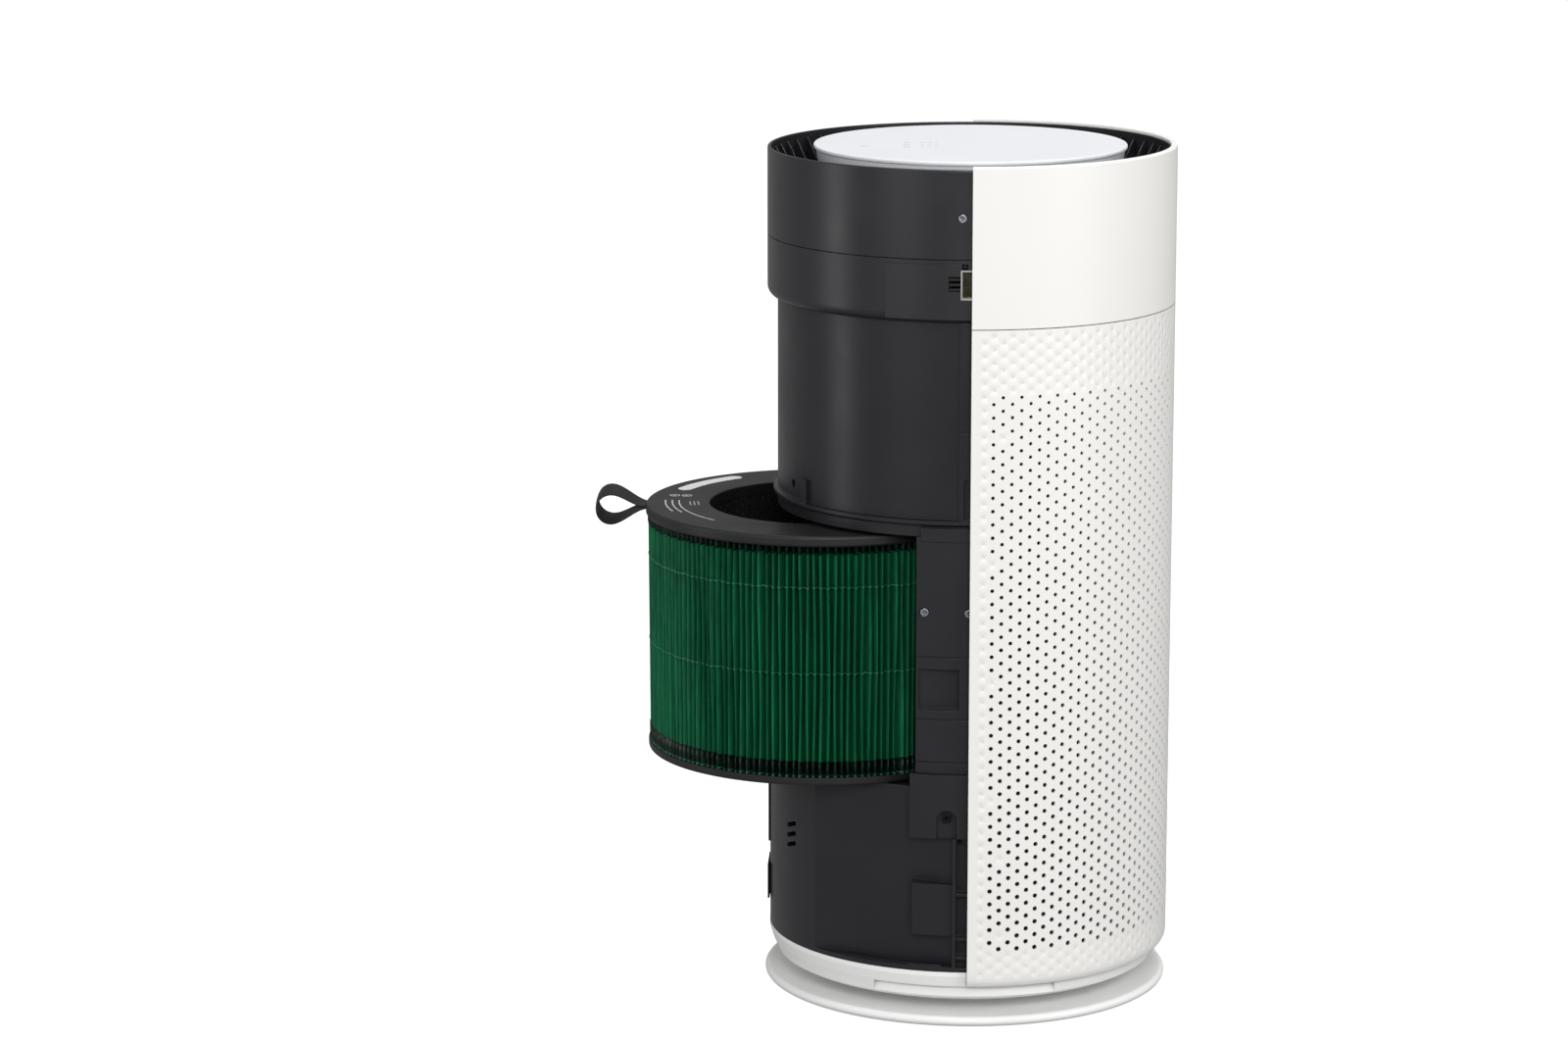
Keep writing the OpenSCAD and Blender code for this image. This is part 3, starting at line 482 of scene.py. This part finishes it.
def perforated_wall(mesh, columns, rows, corner, hole_ring, dimple=None):
    """Two-sided wall of six-cornered cells in brick order, each with a hole or a dimple.

    corner(side, edge, k) is a shared corner, hole_ring(side, column, k) a hole's loop, and
    dimple(column, k) the low point of a cell that has no hole, or None where it has one.
    """
    for column in range(columns):
        start = column % 2
        for k in range(start, rows - 1, 2):
            low = dimple(column, k) if dimple else None
            loops = []
            for side in (0, 1):
                corners = [corner(side, column + 1, k + 1), corner(side, column + 1, k + 2),
                           corner(side, column, k + 2), corner(side, column, k + 1),
                           corner(side, column, k), corner(side, column + 1, k)]
                if side == 1 and low is not None:
                    mesh.face(*corners)
                    continue
                ring = hole_ring(side, column, k)
                mesh.stitch(corners, ring)
                loops.append(ring)
            if low is None:
                mesh.band(loops[0], loops[1])
            else:
                for first, second in zip(loops[0], loops[0][1:] + loops[0][:1]):
                    mesh.face(first, second, low)
        # Half cells that the brick order leaves at the ends of a column
        ends = ([0] if start else []) + ([rows - 1] if (rows - start) % 2 else [])
        for k in ends:
            for side in (0, 1):
                mesh.face(corner(side, column, k), corner(side, column + 1, k),
                          corner(side, column + 1, k + 1), corner(side, column, k + 1))


# ---------------------------------------------------------------------------
# Perforated front grille
# ---------------------------------------------------------------------------
def make_front_grille():
    wall, lip_h, lip_in, seam_step = 1.7 * MM, 7 * MM, 3.4 * MM, 0.3 * MM
    columns, rows, first_a = 68, 99, math.radians(4.25)
    pitch_a = (math.pi - 2 * first_a) / (columns - 1)
    z_low, z_high = grille_lo.z, grille_hi.z - seam_step
    z0 = z_low + 5 * MM
    half_pitch = (z_high - z0) / rows
    hole_top, hole_bottom, dimple_share, dimple_depth = 1.14 * MM, 1.78 * MM, 0.8, 0.5
    blind_above, blind_below, ring_n = rows - 10, 5, 12
    rng = random.Random(7)
    blocked = {(rng.randrange(1, 3), rng.randrange(0, rows)) for _ in range(16)}
    mesh = Mesh()

    def place(side, a, z):
        drop = max(0.0, (z_low + lip_h - z) / lip_h)
        r = COVER_R - lip_in * drop ** 2 - wall * side
        return (r * math.sin(a), -r * math.cos(a), z)

    def corner(side, edge, k):
        return mesh.point(place(side, first_a + (edge - 0.5) * pitch_a, z0 + k * half_pitch),
                          (side, edge, k))

    def middle(column, k):
        return first_a + column * pitch_a, z0 + (k + 1) * half_pitch

    def is_blind(column, k):
        row = k + 1
        edge = min(column, columns - 1 - column)
        return edge == 0 or row > blind_above or row < blind_below or (edge, row) in blocked

    def dimple(column, k):
        if is_blind(column, k):
            return mesh.point(place(dimple_depth, *middle(column, k)))

    def hole_ring(side, column, k):
        a_mid, z_mid = middle(column, k)
        t = (z_mid - z_low) / (z_high - z_low)
        radius = hole_bottom + (hole_top - hole_bottom) * t
        if is_blind(column, k):
            radius *= dimple_share
        ring = []
        for i in range(ring_n):
            turn = 2 * math.pi * i / ring_n
            a = a_mid + radius * math.cos(turn) / COVER_R
            ring.append(mesh.point(place(side, a, z_mid + radius * math.sin(turn))))
        return ring

    perforated_wall(mesh, columns, rows, corner, hole_ring, dimple)

    # Plain margins up to the two cover edges
    edge_a = math.asin(COVER_EDGE / COVER_R)
    edges = {"start": edge_a, "end": math.pi - edge_a}

    def row_point(side, which, k):
        if which in edges:
            return mesh.point(place(side, edges[which], z0 + k * half_pitch), (side, which, k))
        return mesh.keys[(side, which, k)]

    for end, edge in (("start", 0), ("end", columns)):
        for side in (0, 1):
            for k in range(rows):
                mesh.face(row_point(side, end, k), mesh.keys[(side, edge, k)],
                          mesh.keys[(side, edge, k + 1)], row_point(side, end, k + 1))
        for k in range(rows):
            mesh.face(row_point(0, end, k), row_point(0, end, k + 1),
                      row_point(1, end, k + 1), row_point(1, end, k))

    # Lip that curves inwards below, then the plain top edge
    lips = [z0, z0 - 1.6 * MM, z0 - 3 * MM, z0 - 4.2 * MM, z_low]
    across = ["start"] + list(range(columns + 1)) + ["end"]

    def lip_point(side, which, step):
        if step == 0:
            return row_point(side, which, 0)
        a = edges[which] if which in edges else first_a + (which - 0.5) * pitch_a
        return mesh.point(place(side, a, lips[step]), (side, "lip", which, step))

    for step in range(len(lips) - 1):
        for side in (0, 1):
            for a, b in zip(across, across[1:]):
                mesh.face(lip_point(side, a, step), lip_point(side, b, step),
                          lip_point(side, b, step + 1), lip_point(side, a, step + 1))
        for end in edges:
            mesh.face(lip_point(0, end, step), lip_point(1, end, step),
                      lip_point(1, end, step + 1), lip_point(0, end, step + 1))
    for point_at, k in ((lip_point, len(lips) - 1), (row_point, rows)):
        for a, b in zip(across, across[1:]):
            mesh.face(point_at(0, a, k), point_at(0, b, k), point_at(1, b, k), point_at(1, a, k))
    make_piece("grille_panel", mesh.points, mesh.faces, COVER_WHITE, "chassis",
               ["front_grille"], 50)


# ---------------------------------------------------------------------------
# Filter
# ---------------------------------------------------------------------------
PLEAT_COUNT = 160
PLEAT_STEPS = 8
PLEAT_DEPTH = 7.5 * MM
PLEAT_BACK_R = 97 * MM
PLEAT_LEVELS = 22
DIP_SWELL, DIP_BACK, DIP_DEPTH = 0.5 * MM, -1.0 * MM, 6 * MM
GLUE_SWELL, GLUE_BACK, GLUE_DEPTH = 0.35 * MM, -1.2 * MM, 4.2 * MM
GLUE_BEAD = 1.2 * MM


def pleat_shape(rng):
    """Small differences between folds: (bearing shift, radius shift, sway, phase)."""
    return [(rng.uniform(-0.13, 0.13), rng.uniform(-0.35, 0.2) * MM, rng.uniform(0.0, 0.22),
             rng.uniform(0, 2 * math.pi)) for _ in range(PLEAT_COUNT)]


FOLDS = pleat_shape(random.Random(11))


def ridge_at(step):
    """0 in a fold's valley and 1 on its crest."""
    return 0.5 - 0.5 * math.cos(2 * math.pi * step / PLEAT_STEPS)


def pleat_point(i, step, z, swell, depth):
    """A point on the folded surface, on fold i, a step's share of the way across it."""
    shift, out, sway, phase = FOLDS[i % PLEAT_COUNT]
    t = step / PLEAT_STEPS
    ridge = ridge_at(step)
    lean = (shift + sway * math.sin(phase + 34 * (z - pleats_lo.z))) * ridge
    a = 2 * math.pi * (i + t + lean) / PLEAT_COUNT
    height = (z - pleats_lo.z) / (pleats_hi.z - pleats_lo.z)
    top_r = PLEAT_R + 0.2 * MM + 0.9 * MM * height
    r = top_r + swell + out * ridge - depth * (1 - ridge)
    return (FILTER_X + r * math.cos(a), r * math.sin(a), z)


def folded_ring(mesh, levels, swell, depth, inner=None, inner_depth=None):
    """Closed ring: folded outside, and inside round at radius inner, or folded as well."""
    n = PLEAT_COUNT * PLEAT_STEPS
    outer_loops, inner_loops = [], []
    for z_of in levels:
        outer, back = [], []
        for j in range(n):
            i, step = divmod(j, PLEAT_STEPS)
            z = z_of(i, step)
            outer.append(mesh.point(pleat_point(i, step, z, swell, depth)))
            if inner_depth is not None:
                back.append(mesh.point(pleat_point(i, step, z, inner, inner_depth)))
        outer_loops.append(outer)
        inner_loops.append(back)
    if inner_depth is None:
        for z_of in (levels[0], levels[-1]):
            loop = []
            for j in range(n):
                a = 2 * math.pi * j / n
                z = z_of(*divmod(j, PLEAT_STEPS))
                loop.append(mesh.point((FILTER_X + inner * math.cos(a), inner * math.sin(a), z)))
            inner_loops[0 if z_of is levels[0] else -1] = loop
        inner_loops = [inner_loops[0], inner_loops[-1]]
    for low, high in zip(outer_loops, outer_loops[1:]):
        mesh.band(low, high)
    for low, high in zip(inner_loops, inner_loops[1:]):
        mesh.band(low, high)
    mesh.band(outer_loops[0], inner_loops[0])
    mesh.band(outer_loops[-1], inner_loops[-1])


def level(z):
    return lambda i, step: z


def make_pleats():
    mesh = Mesh()
    height = pleats_hi.z - pleats_lo.z
    levels = [level(pleats_lo.z + height * k / PLEAT_LEVELS) for k in range(PLEAT_LEVELS + 1)]
    folded_ring(mesh, levels, 0, PLEAT_DEPTH, PLEAT_BACK_R)
    make_piece("pleated_paper", mesh.points, mesh.faces, PLEATS, "filter",
               ["filter_pleats"], 80)


def make_dipped_ends():
    mesh = Mesh()
    low_lo, high_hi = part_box("pleat_fringes")
    low_h, high_h = 10.6 * MM, 5.0 * MM

    def scallop(base, amount):
        def z_of(i, step):
            return base + amount * ridge_at(step) + 0.4 * MM * math.sin(2.4 * i)
        return z_of

    z = low_lo.z
    folded_ring(mesh, [level(z), level(z + low_h / 2), scallop(z + low_h - 0.6 * MM, 2.0 * MM)],
                DIP_SWELL, DIP_DEPTH, DIP_BACK, DIP_DEPTH)
    z = high_hi.z
    folded_ring(mesh, [scallop(z - high_h, -1.0 * MM), level(z - high_h / 2), level(z)],
                DIP_SWELL, DIP_DEPTH, DIP_BACK, DIP_DEPTH)
    make_piece("dipped_pleat_ends", mesh.points, mesh.faces, DIPPED, "filter",
               ["pleat_fringes"], 80)


def make_glue_lines():
    mesh = Mesh()
    lo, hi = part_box("glue_bands")
    for z in (lo.z, hi.z - GLUE_BEAD):
        def wavy(rise):
            return lambda i, step: z + rise + 0.25 * MM * math.sin(1.7 * i)
        folded_ring(mesh, [wavy(0), wavy(GLUE_BEAD)], GLUE_SWELL, GLUE_DEPTH,
                    GLUE_BACK, GLUE_DEPTH)
    make_piece("glue_lines", mesh.points, mesh.faces, GLUE_GREEN, "filter",
               ["glue_bands"], 80)


def make_core_net():
    """Net of crossing threads that lines the filter's hole."""
    columns, rows, ring_n = 88, 52, 6
    outer_r = (core_hi.x - core_lo.x) / 2
    mesh = Mesh()
    inner_r, thread = outer_r - 1.3 * MM, 1.1 * MM
    hole_wide, hole_tall = 0.36, 0.74       # shares of a cell's half width and half height
    step_z = (core_hi.z - core_lo.z) / rows

    def place(side, column, k):
        a, radius = 2 * math.pi * column / columns, inner_r + thread * side
        return (FILTER_X + radius * math.cos(a), radius * math.sin(a), core_lo.z + k * step_z)

    def corner(side, edge, k):
        return mesh.point(place(side, edge % columns, k), (side, edge % columns, k))

    def hole_ring(side, column, k):
        ring = []
        for i in range(ring_n):
            turn = 2 * math.pi * i / ring_n
            ring.append(mesh.point(place(side, column + 0.5 + hole_wide * math.cos(turn),
                                         k + 1 + hole_tall * math.sin(turn))))
        return ring

    perforated_wall(mesh, columns, rows, corner, hole_ring)
    for k in (0, rows):
        mesh.band([corner(0, c, k) for c in range(columns)],
                  [corner(1, c, k) for c in range(columns)])
    make_piece("core_netting", mesh.points, mesh.faces, CORE_NET, "filter",
               ["core_net"], 50)


def flat_strip(mesh, outline_a, outline_b, z, height):
    """Thin closed strip between two rows of (x, y) points."""
    rows = []
    for top in (0, 1):
        for line in (outline_a, outline_b):
            rows.append([mesh.point((x, y, z + height * top)) for x, y in line])
    low_a, low_b, high_a, high_b = rows
    for i in range(len(outline_a) - 1):
        mesh.face(high_a[i], high_a[i + 1], high_b[i + 1], high_b[i])
        mesh.face(low_a[i], low_b[i], low_b[i + 1], low_a[i + 1])
        mesh.face(low_a[i], low_a[i + 1], high_a[i + 1], high_a[i])
        mesh.face(low_b[i], high_b[i], high_b[i + 1], low_b[i + 1])
    for i in (0, len(outline_a) - 1):
        mesh.face(low_a[i], high_a[i], high_b[i], low_b[i])


def arc_strip(mesh, centre, radius, width, start, end, z, height=0.12 * MM, n=24):
    lines = []
    for r in (radius - width / 2, radius + width / 2):
        lines.append([(centre[0] + r * math.cos(math.radians(start + (end - start) * i / n)),
                       centre[1] + r * math.sin(math.radians(start + (end - start) * i / n)))
                      for i in range(n + 1)])
    flat_strip(mesh, lines[0], lines[1], z, height)


def make_cap_marks():
    """Plain arcs, rings and dashes printed on the cap, with no lettering."""
    mesh = Mesh()
    centre = (FILTER_X, 0)
    line, fine_line = 1.1 * MM, 0.9 * MM
    for radius, end in ((106, 224), (111, 204), (116, 201)):
        arc_strip(mesh, centre, radius * MM, line, 180, end, CAP_TOP)
    for bearing, radius in ((170, 103 * MM), (170.5, 112 * MM)):
        turn = math.radians(bearing)
        spot = (FILTER_X + radius * math.cos(turn), radius * math.sin(turn))
        arc_strip(mesh, spot, 3.4 * MM, 1.0 * MM, 0, 359, CAP_TOP)
        arc_strip(mesh, spot, 1.2 * MM, fine_line, 20, 320, CAP_TOP, n=12)
    for row in range(3):
        for k in range(4):
            bearing = 183 + 2.1 * k
            arc_strip(mesh, centre, (92 + 3 * row) * MM, line, bearing, bearing + 1.3,
                      CAP_TOP, n=4)
    make_piece("cap_marks", mesh.points, mesh.faces, PRINT_GREY, "filter", (), 30)


def make_strap():
    """Pull strap: one ribbon that leaves the cap's slot, loops round and comes back."""
    thick, width = 1.1 * MM, 15 * MM
    root_a = math.radians(176)
    root_z = (strap_lo.z + strap_hi.z) / 2
    out = Vector((math.cos(root_a), math.sin(root_a), 0))
    side = Vector((-out.y, out.x, 0))
    root = Vector((FILTER_X, 0, root_z)) + out * CAP_R
    reach, end_r = 26.5 * MM, 11 * MM

    def centre_line():
        line = [(-5.4 * MM, 0.8 * MM), (0, 0.85 * MM)]
        for i in range(1, 12):
            t = i / 12
            line.append((reach * t, 0.85 * MM + (end_r - 0.85 * MM) * (3 * t * t - 2 * t ** 3)))
        for i in range(17):
            turn = math.radians(90 - 180 * i / 16)
            line.append((reach + end_r * math.cos(turn), end_r * math.sin(turn)))
        line += [(x, -z) for x, z in reversed(line[:13])]
        return line

    line = centre_line()
    mesh = Mesh()
    across = 6
    top, bottom = [], []
    for i, (x, z) in enumerate(line):
        before, after = line[max(i - 1, 0)], line[min(i + 1, len(line) - 1)]
        along = Vector((after[0] - before[0], after[1] - before[1])).normalized()
        normal = Vector((-along.y, along.x))
        share = math.sin(math.pi * i / (len(line) - 1))
        sag = 0.4 * MM * share ** 2
        roll = math.radians(27) * share ** 0.7
        wide = side * math.cos(roll) - Vector((0, 0, 1)) * math.sin(roll)
        thin = out * normal.x + Vector((0, 0, normal.y))
        thin = (thin - wide * thin.dot(wide)).normalized()
        rows = ([], [])
        for k in range(across + 1):
            w = (k / across - 0.5)
            cup = sag * (1 - 4 * w * w)
            for row, sign in zip(rows, (1, -1)):
                edge = 1 - 0.45 * abs(2 * w) ** 6
                offset = thin * (cup + sign * thick / 2 * edge)
                place = root + out * x + wide * (w * width) + Vector((0, 0, z)) + offset
                row.append(mesh.point(place))
        top.append(rows[0])
        bottom.append(rows[1])
    for i in range(len(line) - 1):
        for k in range(across):
            mesh.face(top[i][k], top[i][k + 1], top[i + 1][k + 1], top[i + 1][k])
            mesh.face(bottom[i][k], bottom[i + 1][k], bottom[i + 1][k + 1], bottom[i][k + 1])
        mesh.face(top[i][0], top[i + 1][0], bottom[i + 1][0], bottom[i][0])
        mesh.face(top[i][across], bottom[i][across], bottom[i + 1][across], top[i + 1][across])
    for i in (0, len(line) - 1):
        mesh.face(*(top[i] + bottom[i][::-1]))
    piece = make_piece("pull_strap", mesh.points, mesh.faces, WEBBING, "filter",
                       ["filter_strap"], 60)
    length = sum(math.dist(a, b) for a, b in zip(line, line[1:]))


# ---------------------------------------------------------------------------
# Outlet louvres
# ---------------------------------------------------------------------------
def make_louvres():
    """Upright vanes in the outlet, whose tips climb its wall."""
    lo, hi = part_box("outlet_louvres")
    rim_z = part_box("outlet_housing")[1].z
    count, half = 60, 0.55 * MM
    wall_r, hub_r = hi.x, disc_hi.x - 5 * MM
    side = [(hub_r, hi.z - 1 * MM), (wall_r - 18 * MM, hi.z - 0.4 * MM), (wall_r - 11 * MM, hi.z),
            (wall_r - 8.6 * MM, hi.z + 2.2 * MM), (wall_r - 6.2 * MM, rim_z - 14 * MM),
            (wall_r - 3.6 * MM, rim_z - 8.6 * MM), (wall_r - 0.8 * MM, rim_z - 4 * MM)]
    side = [(r, min(z, rim_z - 4 * MM)) for r, z in side]
    mesh = Mesh()
    for i in range(count):
        turn = 2 * math.pi * (i + 0.5) / count
        along = Vector((math.cos(turn), math.sin(turn), 0))
        across = Vector((-along.y, along.x, 0))

        def spot(r, z, shift):
            return mesh.point(along * r + across * shift + Vector((0, 0, z)))

        rows = []
        for r, z in side:
            rows.append([spot(r, lo.z, -half), spot(r, z - 0.3 * MM, -half), spot(r, z, -half * 0.4),
                         spot(r, z, half * 0.4), spot(r, z - 0.3 * MM, half), spot(r, lo.z, half)])
        for a, b in zip(rows, rows[1:]):
            mesh.band(a, b)
        mesh.face(*rows[0])
        mesh.face(*rows[-1])
    n = 180
    for r, height in ((wall_r, hi.z - 4 * MM), (hub_r + 2 * MM, hi.z - 1.2 * MM)):
        loops = []
        for radius, z in ((r, lo.z), (r, height), (r - 1.8 * MM, height), (r - 1.8 * MM, lo.z)):
            loops.append([mesh.point((radius * math.cos(2 * math.pi * i / n),
                                      radius * math.sin(2 * math.pi * i / n), z)) for i in range(n)])
        for a, b in zip(loops, loops[1:] + loops[:1]):
            mesh.band(a, b)
    make_piece("louvre_vanes", mesh.points, mesh.faces, LOUVRE_BLACK, "chassis",
               ["outlet_louvres"], 35)


# ---------------------------------------------------------------------------
# Display marks
# ---------------------------------------------------------------------------
def make_touch_marks():
    """Faint plain touch symbols on the display disc."""
    mesh = Mesh()
    z, high = disc_hi.z, 0.06 * MM
    arc_strip(mesh, (-76 * MM, -22 * MM), 2.6 * MM, 0.5 * MM, 120, 420, z, high)
    for row in range(3):
        y = (-26 + 13 * row) * MM
        arc_strip(mesh, (-46 * MM, y), 2.2 * MM, 0.6 * MM, 0, 359, z, high)
        for k in range(3):
            x = (-36 + 5 * k) * MM
            flat_strip(mesh, [(x, y - 0.6 * MM), (x + 3 * MM, y - 0.6 * MM)],
                       [(x, y + 0.6 * MM), (x + 3 * MM, y + 0.6 * MM)], z, high)
    make_piece("touch_marks", mesh.points, mesh.faces, TOUCH_GREY, "chassis", (), 30)


# ---------------------------------------------------------------------------
# Floor
# ---------------------------------------------------------------------------
def make_floor():
    shader = Shader("studio_floor", (0.5, 0.5, 0.5, 1), 0.6, Specular_IOR_Level=0.15,
                    Emission_Color=(1, 1, 1, 1), Emission_Strength=FLOOR_GLOW)
    shader.mottle(0.004, 0.6)
    mesh = bpy.data.meshes.new("floor")
    half = FLOOR_HALF
    mesh.from_pydata([(-half, -half, 0), (half, -half, 0), (half, half, 0), (-half, half, 0)],
                     [], [(0, 1, 2, 3)])
    mesh.materials.append(shader.material)
    floor = bpy.data.objects.new("floor", mesh)
    floor.location.z = -0.0002
    floor.visible_glossy = False
    floor.visible_diffuse = False
    bpy.context.scene.collection.objects.link(floor)


make_camera()
make_world()
make_lights()
make_floor()
dress_cad_nodes()
make_front_grille()
make_pleats()
make_dipped_ends()
make_glue_lines()
make_core_net()
make_cap_marks()
make_strap()
make_touch_marks()
make_louvres()
